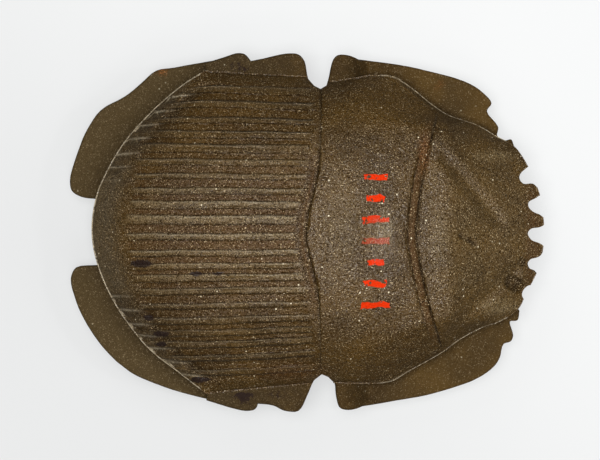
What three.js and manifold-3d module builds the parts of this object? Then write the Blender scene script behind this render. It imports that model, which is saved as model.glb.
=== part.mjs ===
// Scarab amulet, carved in the round from one block of fine brown-green stone.
//
// Millimetres, +Z up. The origin is on the surface that the amulet lies on, under the middle of its box.
// +X runs to the head and +Y to the beetle's left side, which is the upper side seen from above.
// The domed back overhangs a groove, below which the folded legs lie as thick flat plates.
// The carving is free-form: outlines are shares of the length and the width, kept as one figure.
// Depths, thicknesses and widths of cuts are sizes of their own.
import * as THREE from 'three';
import { mergeVertices } from 'three/addons/utils/BufferGeometryUtils.js';
import Module from 'manifold-3d';

const wasm = await Module();
wasm.setup();

// Overall size
const length = 32;
const width = 24;
const height = 13.5;

// Layers, from the surface upwards
const legThickness = 3.2;
const undercut = 1.2;
const rimThickness = 0.6;
const undercutDepth = 2.8;
const bellyRecess = 1.8;
const shinRounding = 0.3;
const kneeRounding = 0.3;
const toothedRounding = 0.16;
const kneeStep = 0.12;
const rimUnderside = legThickness + undercut;
const rimTop = rimUnderside + rimThickness;
const kneeTop = rimTop - kneeStep;
// Overlap of solids that are joined, and how far a cutter runs on past what it cuts
const bite = 0.3;
const cutterReach = 1;

// Wing cases
const grooveCount = 22;
const ribDepth = 0.24;
const ribDrift = 0.3;
const bandWidth = 0.6;
const wingEdgeStep = 0.15;

// Cuts across the back and in the head
const cutDepth = 0.3;
const cutWidth = 0.3;
const creaseDepth = 0.3;
const creaseWidth = 0.6;

// Pierced lug on the belly, and the folded thighs beside it
const lugLength = 6.5;
const lugWidth = 2.6;
const holeDiameter = 1.1;
const thighWidth = 2.7;
const thighInset = 0.35;

// Profile of the back: a larger fullness is flatter on top, and a smaller side fall is steeper at the rim,
// where 2 and 0.5 are an ellipse and 2 and 1 a parabola
const fullness = 2.2;
const sideFall = 0.65;
// The neck's height as a share of the whole, the shoulders' run and the flat brow as shares of length
const neckShare = 0.87;
const shoulderShare = 0.17;
const browShare = 0.24;
// How many rows beyond the shield's own it takes the front to spread to its full width
const spreadCount = 4;

// Outlines seen from above, as [share of length, share of width].
// The wing cases' edge runs round the tail, from the right side to the left.
const tailShares = [
  [-0.213, -0.452], [-0.268, -0.395], [-0.333, -0.326], [-0.395, -0.222], [-0.435, -0.118],
  [-0.454, -0.01], [-0.443, 0.108], [-0.396, 0.232], [-0.340, 0.323], [-0.271, 0.405], [-0.217, 0.453],
];
// Half widths of the wing cases and of the neck shield where they meet at the waist, as shares of width
const wingWaistShare = { right: 0.421, left: 0.435 };
const shieldWaistShare = { right: 0.421, left: 0.420 };
// The edge of neck shield and head runs round the front, from right to left, over the tips of the teeth.
const frontShares = [
  [0.150, -0.424], [0.181, -0.416], [0.213, -0.390], [0.283, -0.338], [0.321, -0.301], [0.370, -0.266],
  [0.405, -0.250],
  [0.446, -0.213], [0.462, -0.170], [0.485, -0.110], [0.499, -0.034], [0.499, 0.040], [0.490, 0.110],
  [0.468, 0.180], [0.438, 0.240], [0.402, 0.268], [0.359, 0.300], [0.299, 0.328], [0.259, 0.364],
  [0.227, 0.399], [0.204, 0.421], [0.190, 0.433], [0.168, 0.441],
];
// Gaps between the teeth of the head's front edge: each runs in from one tooth and out along the next.
const gapShares = [
  [
    [0.470, -0.207], [0.458, -0.189], [0.453, -0.175], [0.456, -0.161], [0.466, -0.149], [0.474, -0.146],
    [0.479, -0.137], [0.495, -0.150],
  ],
  [
    [0.500, -0.130], [0.484, -0.114], [0.478, -0.106], [0.468, -0.100], [0.464, -0.086], [0.470, -0.075],
    [0.486, -0.069], [0.493, -0.063], [0.500, -0.045],
  ],
  [
    [0.505, -0.050], [0.497, -0.036], [0.490, -0.030], [0.472, -0.020], [0.465, -0.002], [0.472, 0.010],
    [0.490, 0.014], [0.498, 0.019], [0.506, 0.030],
  ],
  [
    [0.508, 0.030], [0.499, 0.042], [0.491, 0.050], [0.476, 0.058], [0.466, 0.073], [0.467, 0.085],
    [0.482, 0.096], [0.490, 0.103], [0.505, 0.105],
  ],
  [
    [0.500, 0.112], [0.484, 0.128], [0.476, 0.136], [0.456, 0.136], [0.447, 0.149], [0.448, 0.162],
    [0.460, 0.178], [0.468, 0.184], [0.480, 0.180],
  ],
];
// Notch that marks the waist on each side.
const notchShares = {
  right: [
    [-0.01, -0.6], [0.002, -0.425], [0.017, -0.411], [0.031, -0.396], [0.045, -0.404], [0.055, -0.418],
    [0.06, -0.6],
  ],
  left: [
    [0.06, 0.6], [0.051, 0.425], [0.040, 0.409], [0.028, 0.400], [0.015, 0.409], [0.002, 0.430],
    [-0.01, 0.6],
  ],
};

// Leg plates: each has a smooth outer run and corners that lie hidden inside the body.
const legs = [
  // Left hind shin
  {
    top: legThickness, bottom: 0, round: shinRounding,
    outer: [
      [-0.447, 0.094], [-0.478, 0.100], [-0.498, 0.118], [-0.501, 0.150], [-0.495, 0.185], [-0.482, 0.236],
      [-0.465, 0.290], [-0.436, 0.343], [-0.386, 0.382], [-0.353, 0.416], [-0.319, 0.454], [-0.280, 0.464],
      [-0.185, 0.486],
    ],
    inner: [[-0.14, 0.38], [-0.24, 0.29], [-0.335, 0.094]],
  },
  // Right hind shin
  {
    top: legThickness, bottom: 0, round: shinRounding,
    outer: [
      [-0.185, -0.476], [-0.247, -0.457], [-0.321, -0.425], [-0.373, -0.394], [-0.428, -0.329],
      [-0.464, -0.261], [-0.489, -0.193], [-0.500, -0.130], [-0.488, -0.098], [-0.444, -0.092],
    ],
    inner: [[-0.335, -0.094], [-0.24, -0.29], [-0.14, -0.38]],
  },
  // Left hind knee
  {
    top: kneeTop, bottom: thighInset, round: kneeRounding,
    outer: [[-0.216, 0.474], [-0.177, 0.489], [-0.151, 0.501], [-0.132, 0.500], [-0.117, 0.479]],
    inner: [[-0.113, 0.30], [-0.21, 0.32]],
  },
  // Right hind knee
  {
    top: kneeTop, bottom: thighInset, round: kneeRounding,
    outer: [[-0.100, -0.468], [-0.109, -0.494], [-0.124, -0.499], [-0.152, -0.494], [-0.212, -0.470]],
    inner: [[-0.21, -0.32], [-0.103, -0.30]],
  },
  // Left middle knee
  {
    top: kneeTop, bottom: thighInset, round: kneeRounding,
    outer: [
      [-0.121, 0.480], [-0.091, 0.488], [-0.044, 0.501], [-0.018, 0.498], [-0.005, 0.478], [0.002, 0.432],
      [0.015, 0.407],
    ],
    inner: [[0.015, 0.30], [-0.117, 0.30]],
  },
  // Right middle knee
  {
    top: kneeTop, bottom: thighInset, round: kneeRounding,
    outer: [
      [0.026, -0.396], [0.014, -0.416], [0.000, -0.458], [-0.018, -0.500], [-0.049, -0.499], [-0.072, -0.485],
      [-0.111, -0.479],
    ],
    inner: [[-0.107, -0.30], [0.026, -0.30]],
  },
  // Left fore knee
  {
    top: kneeTop, bottom: thighInset, round: kneeRounding,
    outer: [
      [0.040, 0.406], [0.047, 0.440], [0.055, 0.484], [0.066, 0.497], [0.090, 0.495], [0.108, 0.485],
      [0.140, 0.459],
    ],
    inner: [[0.150, 0.30], [0.040, 0.30]],
  },
  // Right fore knee
  {
    top: kneeTop, bottom: thighInset, round: kneeRounding,
    outer: [
      [0.140, -0.470], [0.112, -0.490], [0.087, -0.497], [0.069, -0.491], [0.062, -0.465], [0.059, -0.425],
      [0.050, -0.402],
    ],
    inner: [[0.044, -0.30], [0.150, -0.30]],
  },
  // Left fore shin
  {
    top: legThickness, bottom: 0, round: toothedRounding,
    outer: [
      [0.100, 0.487], [0.195, 0.471], [0.279, 0.446], [0.346, 0.417], [0.373, 0.393], [0.391, 0.363],
      [0.381, 0.340], [0.404, 0.296], [0.402, 0.271], [0.419, 0.258], [0.432, 0.261], [0.438, 0.244],
    ],
    inner: [[0.405, 0.17], [0.30, 0.115], [0.11, 0.21]],
  },
  // Right fore shin
  {
    top: legThickness, bottom: 0, round: toothedRounding,
    outer: [
      [0.449, -0.220], [0.445, -0.246], [0.429, -0.250], [0.436, -0.288], [0.431, -0.306], [0.416, -0.314],
      [0.408, -0.352], [0.395, -0.378], [0.363, -0.408], [0.321, -0.431], [0.265, -0.453], [0.195, -0.471],
      [0.100, -0.492],
    ],
    inner: [[0.11, -0.21], [0.30, -0.115], [0.42, -0.16]],
  },
];

// Thighs folded across the belly, from knee to hip.
const thighs = [
  { knee: [-0.155, 0.44], hip: [-0.075, 0.13] },
  { knee: [-0.045, 0.44], hip: [0.015, 0.13] },
  { knee: [0.102, 0.43], hip: [0.125, 0.13] },
];

const at = ([x, y]) => new THREE.Vector2(x * length, y * width);
const mix = (a, b, t) => a + (b - a) * t;
const clamp01 = (t) => Math.min(1, Math.max(0, t));
const ease = (low, high, t) => {
  const u = clamp01((t - low) / (high - low));
  return u * u * (3 - 2 * u);
};
const dome = (t) => (1 - Math.min(1, Math.abs(t)) ** fullness) ** sideFall;

// Points of one smooth run through the given points, ends included.
function smoothRun(points, stepsPerSpan) {
  const corners = points.map(at).map((p) => new THREE.Vector3(p.x, p.y, 0));
  const curve = new THREE.CatmullRomCurve3(corners, false, 'centripetal');
  return curve.getPoints((points.length - 1) * stepsPerSpan).map((p) => new THREE.Vector2(p.x, p.y));
}

// The x of an edge at a given y, read from a fine copy of its smooth run.
function edgeReader(points) {
  const run = smoothRun(points, 12);
  return (y) => {
    const next = Math.max(1, run.findIndex((p) => p.y >= y));
    const index = run[run.length - 1].y <= y ? run.length - 1 : next;
    const [a, b] = [run[index - 1], run[index]];
    return mix(a.x, b.x, clamp01((y - a.y) / (b.y - a.y)));
  };
}

const tailX = edgeReader(tailShares);
const frontX = edgeReader(frontShares);

// The edge of the wing cases against the neck shield bows to the tail in the middle.
function wingFrontX(y) {
  return length * (0.028 - 0.030 * Math.exp(-((y / (0.13 * width)) ** 2)));
}

// The groove behind the head is an arc too, and stays inside the front edge.
function headRearX(y) {
  const bow = y < 0 ? 0.045 : 0.036;
  const arc = length * (0.227 + bow * Math.abs(y / (0.28 * width)) ** 1.5);
  return Math.min(arc, frontX(y) - 0.02 * length);
}

function solid(geometry) {
  geometry.deleteAttribute('normal');
  geometry.deleteAttribute('uv');
  const merged = mergeVertices(geometry, 1e-5);
  const mesh = new wasm.Mesh({
    numProp: 3,
    vertProperties: new Float32Array(merged.attributes.position.array),
    triVerts: new Uint32Array(merged.index.array),
  });
  return new wasm.Manifold(mesh);
}

// A plate of the given outline between two levels, with rounded edges.
function plate(outline, bottom, top, round) {
  const geometry = new THREE.ExtrudeGeometry(new THREE.Shape(outline), {
    depth: top - bottom - 2 * round,
    bevelEnabled: round > 0,
    bevelThickness: round,
    bevelSize: round,
    bevelOffset: -round,
    bevelSegments: 2,
    curveSegments: 8,
  });
  geometry.translate(0, 0, bottom + round);
  return solid(geometry);
}

// A block whose top is a net of points, with upright walls and a flat bottom.
function nettedBlock(rows, columns, pointAt, bottom) {
  const positions = [];
  const triangles = [];
  const top = (i, j) => i * (columns + 1) + j;
  for (let i = 0; i <= rows; i++) {
    for (let j = 0; j <= columns; j++) positions.push(...pointAt(i, j));
  }
  for (let i = 0; i < rows; i++) {
    for (let j = 0; j < columns; j++) {
      const [a, b, c, d] = [top(i, j), top(i + 1, j), top(i + 1, j + 1), top(i, j + 1)];
      triangles.push(a, b, c, a, c, d);
    }
  }
  const border = [];
  for (let i = 0; i < rows; i++) border.push(top(i, 0));
  for (let j = 0; j < columns; j++) border.push(top(rows, j));
  for (let i = rows; i > 0; i--) border.push(top(i, columns));
  for (let j = columns; j > 0; j--) border.push(top(0, j));
  const foot = positions.length / 3;
  for (const index of border) positions.push(positions[3 * index], positions[3 * index + 1], bottom);
  for (let k = 0; k < border.length; k++) {
    const next = (k + 1) % border.length;
    triangles.push(border[k], foot + k, foot + next, border[k], foot + next, border[next]);
  }
  const loop = border.map((index) => new THREE.Vector2(positions[3 * index], positions[3 * index + 1]));
  for (const [a, b, c] of THREE.ShapeUtils.triangulateShape(loop, [])) {
    triangles.push(foot + a, foot + c, foot + b);
  }
  const geometry = new THREE.BufferGeometry();
  geometry.setAttribute('position', new THREE.Float32BufferAttribute(positions, 3));
  geometry.setIndex(triangles);
  return solid(geometry);
}

// Places across the back, -1 at the right edge to 1 at the left, with the ribs between grooves.
function wingColumns() {
  const places = [-1, -0.993, -0.975, -0.95];
  for (let k = 0; k < grooveCount; k++) {
    const here = grooveAcross(k);
    const pitch = grooveAcross(k + 1) - here;
    const steps = k < grooveCount - 1 ? [0, 0.2, 0.5, 0.8] : [0];
    for (const step of steps) places.push(here + pitch * step);
  }
  places.push(0.955, 0.975, 0.993, 1);
  return places;
}

function grooveAcross(k) {
  const even = mix(-0.927, 0.938, k / (grooveCount - 1));
  return even - (2 * ribDrift / width) * Math.cos(even * Math.PI / 2);
}

// How far below the rib crests a place lies: 1 in a groove, 0 on a crest.
function grooveShare(across) {
  let share = 0;
  for (let k = 0; k < grooveCount; k++) {
    const pitch = 2 * 0.93 / (grooveCount - 1);
    const distance = Math.abs(across - grooveAcross(k)) / pitch;
    share = Math.max(share, 1 - ease(0, 0.36, distance));
  }
  return share;
}

function wingCases() {
  const columns = wingColumns();
  const along = [0, 0.003, 0.013, 0.033, 0.065, 0.11, 0.165, 0.235, 0.32, 0.42, 0.54, 0.68, 0.84, 1];
  const rows = along.length + 1;
  return nettedBlock(rows, columns.length - 1, (i, j) => {
    const across = columns[j];
    const corner = across < 0 ? -tailShares[0][1] : tailShares.at(-1)[1];
    const waist = across < 0 ? wingWaistShare.right : wingWaistShare.left;
    const yTail = across * corner * width;
    const front = wingFrontX(across * waist * width);
    const tail = tailX(yTail);
    const band = bandWidth / (front - tail);
    const ribEnds = 1 - band - cutWidth / (front - tail);
    const t = i < along.length ? along[i] * ribEnds : 1 - band * (rows - i);
    const y = mix(yTail, across * waist * width, t);
    const ribbed = i < along.length ? ease(0.1, 0.24, t) : 0;
    const away = ease(0.2, 0.35, dome(across));
    const crest = rimTop + (height - rimTop) * dome(1 - t) * dome(across);
    return [mix(tail, front, t), y, crest - ribDepth * ribbed * away * grooveShare(across)];
  }, rimUnderside);
}

// The neck shield and head: rows run across, first over the shield and then over the head.
// The shield's cuts lie at its rear edge, along its neck, and a band's width behind the neck.
const shieldRowShares = [0.16, 0.32, 0.48, 0.64, 0.8];
const headRowShares = [0.1, 0.2, 0.31, 0.43, 0.56, 0.69, 0.82, 0.93, 1];
const frontColumns = 38;

function shieldPlaces(reach) {
  const [cut, band] = [cutWidth / reach, bandWidth / reach];
  const clear = (t) => mix(cut, 1 - band - cut, t);
  return [0, cut, ...shieldRowShares.map(clear), 1 - band - cut, 1 - band, 1 - band / 2, 1];
}

function frontPoint(row, across) {
  const shieldSide = across < 0 ? -frontShares[0][1] : frontShares.at(-1)[1];
  const waist = across < 0 ? shieldWaistShare.right : shieldWaistShare.left;
  const y = across * mix(waist, shieldSide, clamp01((row + 1) / (shieldRowShares.length + spreadCount))) * width;
  const [rear, neck, front] = [wingFrontX(y), headRearX(y), frontX(y)];
  const shieldRear = height - wingEdgeStep;
  const shieldFront = height * neckShare;
  const shoulders = (x) => dome(across) * dome(1 - Math.min(1, (front - x) / (shoulderShare * length)));
  const lift = (level, x) => rimTop + (level - rimTop) * shoulders(x);
  const shallow = Math.min(1, 3 * dome(across));
  if (row < 0) return [rear - bite, y, lift(shieldRear, rear) - cutDepth * shallow];
  const places = shieldPlaces(neck - rear);
  if (row < places.length) {
    const t = places[row];
    const x = mix(rear, neck, t);
    const rearCut = row === 0 ? shallow : 0;
    const bandCut = row === places.length - 3 ? 0.7 * (1 - ease(0.45, 0.7, Math.abs(across))) : 0;
    const neckCut = row === places.length - 1 ? 1 - ease(0.62, 0.78, Math.abs(across)) : 0;
    const level = lift(mix(shieldRear, shieldFront, t ** 1.6), x);
    return [x, y, level - cutDepth * Math.max(rearCut, bandCut, neckCut)];
  }
  const cut = cutWidth / (front - neck);
  const t = row === places.length ? cut : mix(cut, 1, headRowShares[row - places.length - 1]);
  const x = mix(neck, front, t);
  const slope = t < browShare ? 1 - 0.06 * t / browShare : 0.94 * (1 - t) / (1 - browShare);
  const level = rimTop + (shieldFront - rimTop) * slope * shoulders(neck);
  return [x, y, level - creaseDepth * headCrease(x, y) * Math.min(1, 4 * (1 - t))];
}

// Two shallow creases run from the head's rear corners to the middle of its front.
function headCrease(x, y) {
  const creases = [[[0.289, 0.204], [0.399, 0.035]], [[0.289, -0.280], [0.432, -0.111]]];
  const point = new THREE.Vector3(x, y, 0);
  const near = creases.map(([from, to]) => {
    const line = new THREE.Line3(new THREE.Vector3(...at(from), 0), new THREE.Vector3(...at(to), 0));
    return line.closestPointToPoint(point, true, new THREE.Vector3()).distanceTo(point);
  });
  return 1 - ease(0, creaseWidth, Math.min(...near));
}

function shieldAndHead() {
  const rows = shieldPlaces(1).length + headRowShares.length + 1;
  return nettedBlock(rows, frontColumns, (i, j) => {
    const across = -Math.cos(Math.PI * j / frontColumns);
    return frontPoint(i - 1, across);
  }, rimUnderside);
}

function back() {
  let body = wingCases().add(shieldAndHead());
  for (const notch of Object.values(notchShares)) {
    body = body.subtract(plate(notch.map(at), rimUnderside - cutterReach, height + cutterReach, 0));
  }
  for (const gap of gapShares) {
    body = body.subtract(plate(smoothRun(gap, 2), rimUnderside - cutterReach, height, 0));
  }
  return body;
}

// The belly stands back from the body's edge by the depth of the undercut.
function belly() {
  const rim = [...smoothRun(tailShares, 1), ...smoothRun(frontShares, 1).reverse()].reverse();
  const outline = rim.map((p) => p.clone().setLength(p.length() - undercutDepth));
  return plate(outline, bellyRecess, rimUnderside + bite, 0);
}

function legPlate({ outer, inner, bottom, top, round }) {
  const outline = [...smoothRun(outer, 2), ...inner.map(at)];
  if (THREE.ShapeUtils.area(outline) < 0) outline.reverse();
  return plate(outline, bottom, top, round);
}

function thigh({ knee, hip }, side) {
  const from = at([knee[0], knee[1] * side]);
  const to = at([hip[0], hip[1] * side]);
  const turn = Math.atan2(to.y - from.y, to.x - from.x);
  const reach = to.distanceTo(from);
  const half = thighWidth / 2;
  const outline = new THREE.Shape();
  outline.moveTo(0, -half);
  outline.lineTo(reach - half, -half * 0.8);
  outline.absarc(reach - half, 0, half * 0.8, -Math.PI / 2, Math.PI / 2);
  outline.lineTo(0, half);
  const points = outline.getPoints(6).map((p) => p.rotateAround(new THREE.Vector2(), turn).add(from));
  return plate(points, thighInset, bellyRecess + 2 * bite + kneeRounding, kneeRounding);
}

function piercedLug() {
  const outline = new THREE.Path();
  outline.absellipse(0, 0, lugLength / 2, lugWidth / 2, 0, 2 * Math.PI);
  const lug = plate(outline.getPoints(20).slice(1), 0, bellyRecess + 2 * bite, bite);
  const hole = new THREE.CylinderGeometry(holeDiameter / 2, holeDiameter / 2, 2 * lugWidth, 16);
  hole.translate(0, 0, (bellyRecess + bite) / 2);
  return { lug, hole: solid(hole) };
}

function scarab() {
  const { lug, hole } = piercedLug();
  let body = back().add(belly());
  for (const leg of legs) body = body.add(legPlate(leg));
  for (const pair of thighs) body = body.add(thigh(pair, 1)).add(thigh(pair, -1));
  const whole = body.add(lug).subtract(hole);
  const { vertProperties, triVerts } = whole.getMesh();
  const geometry = new THREE.BufferGeometry();
  geometry.setAttribute('position', new THREE.Float32BufferAttribute(vertProperties, 3));
  geometry.setIndex(Array.from(triVerts));
  geometry.computeBoundingBox();
  const middle = geometry.boundingBox.getCenter(new THREE.Vector3());
  geometry.translate(-middle.x, -middle.y, -geometry.boundingBox.min.z);
  geometry.computeVertexNormals();
  return geometry;
}

const stone = new THREE.MeshStandardMaterial({ color: 0x5f4f38, roughness: 0.5, metalness: 0 });
const mesh = new THREE.Mesh(scarab(), stone);
mesh.name = 'scarab';

const amulet = new THREE.Group();
amulet.add(mesh);

export default amulet;
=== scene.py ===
"""Scarab amulet of fine brown-green stone, carved in the round.

Metres, +Z up, with the origin on the surface that the amulet lies on. +X runs to the head.
The high back overhangs a groove, below which the folded legs lie as thick plates.
"""

import math

import bmesh
import bpy
import numpy as np
from bpy.props import FloatProperty, FloatVectorProperty, IntProperty, PointerProperty
from mathutils import Matrix, Vector, noise


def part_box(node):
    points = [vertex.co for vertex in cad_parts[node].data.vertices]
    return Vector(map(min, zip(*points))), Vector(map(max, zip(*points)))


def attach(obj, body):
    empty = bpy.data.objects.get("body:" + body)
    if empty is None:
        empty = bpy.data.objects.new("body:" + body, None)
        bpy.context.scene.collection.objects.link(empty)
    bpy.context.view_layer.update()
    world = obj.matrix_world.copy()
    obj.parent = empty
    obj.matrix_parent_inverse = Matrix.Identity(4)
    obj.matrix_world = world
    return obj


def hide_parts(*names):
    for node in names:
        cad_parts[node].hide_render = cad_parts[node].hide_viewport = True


bl_info = {
    "name": "Scarab Amulet",
    "version": (1, 0, 0),
    "blender": (4, 5, 0),
    "location": "View3D > Sidebar > Scarab",
    "description": "Carves a stone scarab amulet and sets it on a pale studio floor",
    "category": "Add Mesh",
}

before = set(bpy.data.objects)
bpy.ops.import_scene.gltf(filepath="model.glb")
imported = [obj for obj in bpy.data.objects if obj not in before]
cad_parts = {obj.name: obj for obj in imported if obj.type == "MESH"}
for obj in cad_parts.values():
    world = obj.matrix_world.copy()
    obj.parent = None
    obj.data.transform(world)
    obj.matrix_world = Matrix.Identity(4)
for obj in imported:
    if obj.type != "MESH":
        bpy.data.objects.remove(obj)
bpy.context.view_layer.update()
LOW, HIGH = (Vector(corner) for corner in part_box("scarab"))

MM = 0.001
LENGTH = HIGH.x - LOW.x
WIDTH = HIGH.y - LOW.y
HEIGHT = HIGH.z - LOW.z
CENTRE = (LOW + HIGH) / 2
BITE = 0.3 * MM

# Outlines seen from above, as (share of length, share of width), the same that the solid has.
TAIL_EDGE = (
    (-0.213, -0.452), (-0.268, -0.395), (-0.333, -0.326), (-0.395, -0.222), (-0.435, -0.118),
    (-0.454, -0.010), (-0.443, 0.108), (-0.396, 0.232), (-0.340, 0.323), (-0.271, 0.405), (-0.217, 0.453),
)
FRONT_EDGE = (
    (0.150, -0.424), (0.181, -0.416), (0.213, -0.390), (0.283, -0.338), (0.321, -0.301), (0.370, -0.266),
    (0.405, -0.250), (0.446, -0.213), (0.462, -0.170), (0.485, -0.110), (0.499, -0.034), (0.499, 0.040),
    (0.490, 0.110), (0.468, 0.180), (0.438, 0.240), (0.402, 0.268), (0.359, 0.300), (0.299, 0.328),
    (0.259, 0.364), (0.227, 0.399), (0.204, 0.421), (0.190, 0.433), (0.168, 0.441),
)
# Half widths, right and left, of the wing cases at tail and waist and of the neck shield at waist and neck.
TAIL_CORNERS = (-TAIL_EDGE[0][1], TAIL_EDGE[-1][1])
WING_WAIST = (0.421, 0.435)
SHIELD_WAIST = (0.421, 0.420)
SHIELD_CORNERS = (-FRONT_EDGE[0][1], FRONT_EDGE[-1][1])
# The cuts at the front of the wing cases and behind the head: place and bow as shares of the length, and the
# bow's reach as a share of the width.
WING_FRONT, WING_BOW, WING_BOW_REACH = 0.028, 0.030, 0.13
NECK, NECK_BOWS, NECK_BOW_REACH = 0.227, (0.045, 0.036), 0.28
NECK_INSET = 0.02
# The neck's height as a share of the whole, the shoulders' run and the flat brow as shares of the length.
NECK_SHARE, SHOULDER_SHARE, BROW_SHARE = 0.87, 0.17, 0.24
# Creases that part the head's middle from its side lobes, as shares of length and width.
CREASES = (((0.289, 0.204), (0.399, 0.035)), ((0.289, -0.280), (0.432, -0.111)))
# Places of the grooves between the wing cases' ribs, -1 at the right edge to 1 at the left.
GROOVES = (
    -0.930, -0.840, -0.751, -0.668, -0.598, -0.508, -0.419, -0.330, -0.247, -0.176, -0.081,
    0.021, 0.129, 0.217, 0.305, 0.393, 0.475, 0.570, 0.658, 0.746, 0.847, 0.936,
)
TOOTH_GAPS = (
    ((0.470, -0.207), (0.458, -0.189), (0.453, -0.175), (0.456, -0.161), (0.466, -0.149), (0.474, -0.146),
     (0.479, -0.137), (0.495, -0.150)),
    ((0.500, -0.130), (0.484, -0.114), (0.478, -0.106), (0.468, -0.100), (0.464, -0.086), (0.470, -0.075),
     (0.486, -0.069), (0.493, -0.063), (0.500, -0.045)),
    ((0.505, -0.050), (0.497, -0.036), (0.490, -0.030), (0.472, -0.020), (0.465, -0.002), (0.472, 0.010),
     (0.490, 0.014), (0.498, 0.019), (0.506, 0.030)),
    ((0.508, 0.030), (0.499, 0.042), (0.491, 0.050), (0.476, 0.058), (0.466, 0.073), (0.467, 0.085),
     (0.482, 0.096), (0.490, 0.103), (0.505, 0.105)),
    ((0.500, 0.112), (0.484, 0.128), (0.476, 0.136), (0.456, 0.136), (0.447, 0.149), (0.448, 0.162),
     (0.460, 0.178), (0.468, 0.184), (0.480, 0.180)),
)
WAIST_NOTCHES = (
    ((-0.01, -0.6), (0.002, -0.425), (0.017, -0.411), (0.031, -0.396), (0.045, -0.404), (0.055, -0.418),
     (0.06, -0.6)),
    ((0.06, 0.6), (0.051, 0.425), (0.040, 0.409), (0.028, 0.400), (0.015, 0.409), (0.002, 0.430),
     (-0.01, 0.6)),
)
HIND_SHINS = (
    (((-0.447, 0.094), (-0.478, 0.100), (-0.498, 0.118), (-0.501, 0.150), (-0.495, 0.185), (-0.482, 0.236),
      (-0.465, 0.290), (-0.436, 0.343), (-0.386, 0.382), (-0.353, 0.416), (-0.319, 0.454), (-0.280, 0.464),
      (-0.185, 0.486)), ((-0.14, 0.38), (-0.24, 0.29), (-0.335, 0.094))),
    (((-0.185, -0.476), (-0.247, -0.457), (-0.321, -0.425), (-0.373, -0.394), (-0.428, -0.329),
      (-0.464, -0.261), (-0.489, -0.193), (-0.500, -0.130), (-0.488, -0.098), (-0.444, -0.092)),
     ((-0.335, -0.094), (-0.24, -0.29), (-0.14, -0.38))),
)
KNEES = (
    (((-0.216, 0.474), (-0.177, 0.489), (-0.151, 0.501), (-0.132, 0.500), (-0.117, 0.479)),
     ((-0.113, 0.30), (-0.21, 0.32))),
    (((-0.100, -0.468), (-0.109, -0.494), (-0.124, -0.499), (-0.152, -0.494), (-0.212, -0.470)),
     ((-0.21, -0.32), (-0.103, -0.30))),
    (((-0.121, 0.480), (-0.091, 0.488), (-0.044, 0.501), (-0.018, 0.498), (-0.005, 0.478), (0.002, 0.432),
      (0.015, 0.407)), ((0.015, 0.30), (-0.117, 0.30))),
    (((0.026, -0.396), (0.014, -0.416), (0.000, -0.458), (-0.018, -0.500), (-0.049, -0.499),
      (-0.072, -0.485), (-0.111, -0.479)), ((-0.107, -0.30), (0.026, -0.30))),
    (((0.040, 0.406), (0.047, 0.440), (0.055, 0.484), (0.066, 0.497), (0.090, 0.495), (0.108, 0.485),
      (0.140, 0.459)), ((0.150, 0.30), (0.040, 0.30))),
    (((0.140, -0.470), (0.112, -0.490), (0.087, -0.497), (0.069, -0.491), (0.062, -0.465), (0.059, -0.425),
      (0.050, -0.402)), ((0.044, -0.30), (0.150, -0.30))),
)
FORE_SHINS = (
    (((0.100, 0.487), (0.195, 0.471), (0.279, 0.446), (0.346, 0.417), (0.373, 0.393), (0.391, 0.363),
      (0.381, 0.340), (0.404, 0.296), (0.402, 0.271), (0.419, 0.258), (0.432, 0.261), (0.438, 0.244)),
     ((0.405, 0.17), (0.30, 0.115), (0.11, 0.21))),
    (((0.449, -0.220), (0.445, -0.246), (0.429, -0.250), (0.436, -0.288), (0.431, -0.306), (0.416, -0.314),
      (0.408, -0.352), (0.395, -0.378), (0.363, -0.408), (0.321, -0.431), (0.265, -0.453), (0.195, -0.471),
      (0.100, -0.492)), ((0.11, -0.21), (0.30, -0.115), (0.42, -0.16))),
)
THIGHS = (
    ((-0.155, 0.44), (-0.075, 0.13)),
    ((-0.045, 0.44), (0.015, 0.13)),
    ((0.102, 0.43), (0.125, 0.13)),
)

# Marks on the stone and patches of painted highlight, as (x, y, half length, half width) in millimetres and
# strength.
DARK_SPECKS = (
    (-11.1, -2.1, 0.75, 0.30, 1), (-7.4, -2.75, 0.55, 0.16, 1), (-6.0, -2.75, 0.35, 0.14, 1),
    (-10.6, -5.7, 0.40, 0.28, 1), (-9.8, -6.8, 0.55, 0.22, 1), (-9.8, -7.5, 0.45, 0.20, 1),
    (-7.2, -9.95, 0.70, 0.22, 1), (-4.3, -11.1, 0.75, 0.42, 1), (-4.6, 11.2, 1.15, 0.40, 0.6),
    (-1.9, -10.9, 1.1, 0.35, 0.4),
)
RUST_STAINS = (
    (7.8, 5.3, 0.4, 1.4, 0.6), (-9.8, 10.95, 0.35, 0.25, 1), (8.95, 10.1, 0.25, 0.2, 0.5),
    (-1.1, -9.4, 2.4, 0.7, 0.3),
)
# Pale patches on brow, head lobes and neck shield, partly rubbed stone and partly painted highlight where the
# sheen falls and on the sloping head.
RUBBED_AND_LIT_PATCHES = (
    (8.9, -0.3, 0.7, 2.0, 0.5), (13.0, -5.0, 1.6, 0.6, 1), (12.6, 5.1, 1.6, 0.5, 0.8),
    (12.2, 0.0, 4.0, 6.5, 0.3), (2.2, 0.5, 1.3, 3.4, 0.3), (5.2, 0.3, 0.5, 1.2, 0.8),
)
VARNISH = ((5.0, -0.3, 0.8, 1.7, 1),)
# Ends of the small slanting nick on the brow, in millimetres.
NICK = ((10.2, -0.2), (11.2, -0.8))
# Chips on the head's front edge, as (x, y, half length, half width, depth) in millimetres.
CHIPS = ((13.95, -3.45, 0.66, 0.46, 0.5), (14.45, -2.0, 0.25, 0.30, 0.25))
CHIP_SLANT = math.radians(-30)

# Legs, thighs and lug
KNEE_STEP = 0.08 * MM
FORE_KNEE_SLOPE = (0.08 * LENGTH, 0.145 * LENGTH)
FORE_KNEE_DROP = 0.3 * MM
THIGH_INSET = 0.35 * MM
THIGH_WIDTH = 2.7 * MM
LUG_HALF_LENGTH, LUG_HALF_WIDTH = 3.25 * MM, 1.3 * MM
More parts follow.
